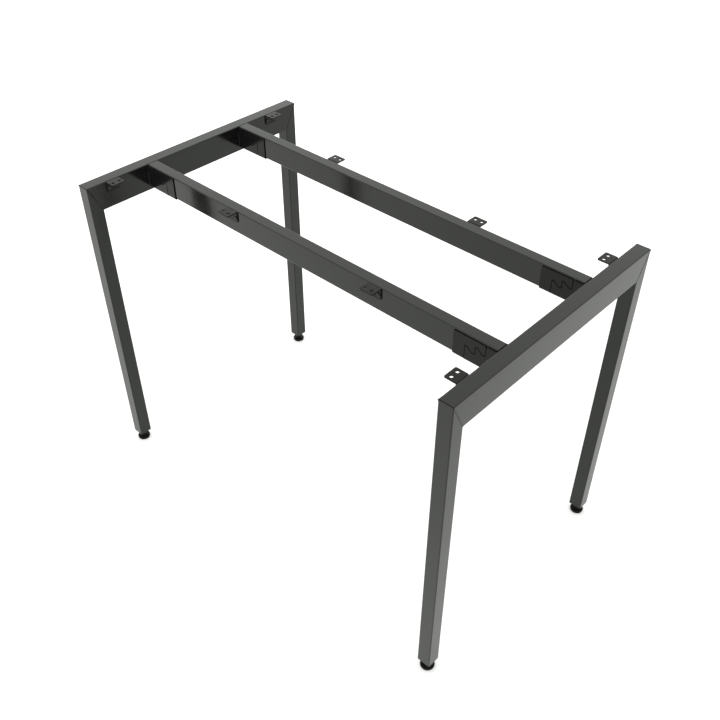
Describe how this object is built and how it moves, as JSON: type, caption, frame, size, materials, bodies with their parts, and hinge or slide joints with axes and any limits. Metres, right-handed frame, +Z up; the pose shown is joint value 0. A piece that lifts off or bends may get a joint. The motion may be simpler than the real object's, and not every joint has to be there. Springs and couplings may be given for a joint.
{
  "type": "desk frame",
  "caption": "Bare steel desk frame: mitred box-tube leg frames, hooked drop-in beams, L-brackets for a table top and screw levelling feet.",
  "frame": {"origin": "on the floor, under the middle of the frame", "axes": "+X along the beams towards the right leg frame, +Y towards the back, +Z up"},
  "size_m": [0.98, 0.584, 0.727],
  "materials": {
    "frame_steel": "anthracite powder coat, satin, very fine texture",
    "connector_steel": "black powder coat, semi-gloss",
    "bracket_steel": "black powder coat, semi-gloss",
    "screw_steel": "black oxide with a trace of oil",
    "plug_plastic": "moulded black polypropylene",
    "bush_steel": "bright zinc plate",
    "stud_steel": "black zinc plate, semi-gloss",
    "pad_plastic": "moulded black nylon, slight sheen"
  },
  "bodies": {
    "frame": {"left_top_bar": "frame_steel", "right_top_bar": "frame_steel", "left_front_leg": "frame_steel", "left_back_leg": "frame_steel", "right_front_leg": "frame_steel", "right_back_leg": "frame_steel", "front_beam": "frame_steel", "back_beam": "frame_steel", "left_front_frame_socket": "connector_steel", "left_front_beam_hook": "connector_steel", "left_back_frame_socket": "connector_steel", "left_back_beam_hook": "connector_steel", "right_front_frame_socket": "connector_steel", "right_front_beam_hook": "connector_steel", "right_back_frame_socket": "connector_steel", "right_back_beam_hook": "connector_steel", "left_front_frame_bracket": "bracket_steel", "left_front_beam_bracket": "bracket_steel", "left_back_frame_bracket": "bracket_steel", "left_back_beam_bracket": "bracket_steel", "right_front_frame_bracket": "bracket_steel", "right_front_beam_bracket": "bracket_steel", "right_back_frame_bracket": "bracket_steel", "right_back_beam_bracket": "bracket_steel", "bracket_screws": "screw_steel", "left_front_leg_plug": "plug_plastic", "left_back_leg_plug": "plug_plastic", "right_front_leg_plug": "plug_plastic", "right_back_leg_plug": "plug_plastic", "leg_bushes": "bush_steel"},
    "left_front_pad": {"left_front_foot_pad": "pad_plastic"},
    "left_front_stud": {"left_front_foot_stud": "stud_steel"},
    "left_back_pad": {"left_back_foot_pad": "pad_plastic"},
    "left_back_stud": {"left_back_foot_stud": "stud_steel"},
    "right_front_pad": {"right_front_foot_pad": "pad_plastic"},
    "right_front_stud": {"right_front_foot_stud": "stud_steel"},
    "right_back_pad": {"right_back_foot_pad": "pad_plastic"},
    "right_back_stud": {"right_back_foot_stud": "stud_steel"}
  },
  "joints": [
    {"name": "left_front_foot_travel", "type": "slide", "parent": "frame", "child": "left_front_pad", "axis": [0, 0, 1], "range_m": [-0.015, 0.0055]},
    {"name": "left_front_stud_turn", "type": "hinge", "parent": "left_front_pad", "child": "left_front_stud", "pos_m": [-0.475, -0.277, 0.022], "axis": [0, 0, 1], "range_deg": [-4325, 1588]},
    {"name": "left_back_foot_travel", "type": "slide", "parent": "frame", "child": "left_back_pad", "axis": [0, 0, 1], "range_m": [-0.015, 0.0055]},
    {"name": "left_back_stud_turn", "type": "hinge", "parent": "left_back_pad", "child": "left_back_stud", "pos_m": [-0.475, 0.277, 0.022], "axis": [0, 0, 1], "range_deg": [-4325, 1588]},
    {"name": "right_front_foot_travel", "type": "slide", "parent": "frame", "child": "right_front_pad", "axis": [0, 0, 1], "range_m": [-0.015, 0.0055]},
    {"name": "right_front_stud_turn", "type": "hinge", "parent": "right_front_pad", "child": "right_front_stud", "pos_m": [0.475, -0.277, 0.022], "axis": [0, 0, 1], "range_deg": [-4325, 1588]},
    {"name": "right_back_foot_travel", "type": "slide", "parent": "frame", "child": "right_back_pad", "axis": [0, 0, 1], "range_m": [-0.015, 0.0055]},
    {"name": "right_back_stud_turn", "type": "hinge", "parent": "right_back_pad", "child": "right_back_stud", "pos_m": [0.475, 0.277, 0.022], "axis": [0, 0, 1], "range_deg": [-4325, 1588]}
  ],
  "couplings": [
    {"joint": "left_front_stud_turn", "follows": "left_front_foot_travel", "rad_per_m": 5026.5},
    {"joint": "left_back_stud_turn", "follows": "left_back_foot_travel", "rad_per_m": 5026.5},
    {"joint": "right_front_stud_turn", "follows": "right_front_foot_travel", "rad_per_m": 5026.5},
    {"joint": "right_back_stud_turn", "follows": "right_back_foot_travel", "rad_per_m": 5026.5}
  ]
}
